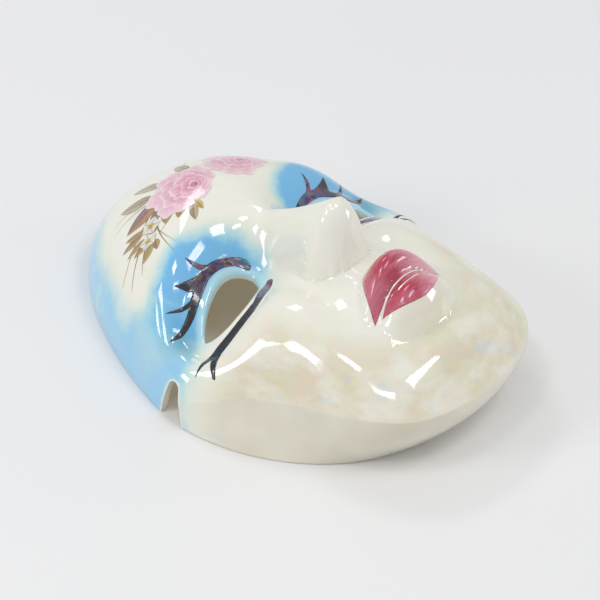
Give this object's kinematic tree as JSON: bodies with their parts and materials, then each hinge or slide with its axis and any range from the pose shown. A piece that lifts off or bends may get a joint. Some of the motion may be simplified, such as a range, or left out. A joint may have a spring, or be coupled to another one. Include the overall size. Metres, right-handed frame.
{
  "type": "venetian masquerade mask",
  "caption": "Full-face ceramic carnival mask with almond eye holes, side ribbon notches and a flat rim.",
  "frame": {"origin": "middle of the mask's bounding box in plan, on the plane of its rim", "axes": "+X to the wearer's left, +Y from the chin to the crown, +Z out of the face, which is up when the mask lies on its rim"},
  "size_m": [0.148, 0.208, 0.0849],
  "materials": {
    "pearl_glaze": "glossy cream glaze with mother-of-pearl lustre and sky-blue airbrush round the eyes and the forehead edge",
    "rose_transfer": "fired waterslide transfer of pink roses with gold-olive leaves, under the lustre",
    "lash_transfer": "glossy black enamel with an oil-slick lustre",
    "lip_colour": "brushed raspberry overglaze enamel, glossy"
  },
  "bodies": {
    "root": {"mask_shell": "pearl_glaze", "rose_transfer": "rose_transfer", "upper_lash_left": "lash_transfer", "upper_lash_right": "lash_transfer", "lower_lash_left": "lash_transfer", "lower_lash_right": "lash_transfer", "upper_lip_colour": "lip_colour", "lower_lip_colour": "lip_colour"}
  },
  "joints": []
}
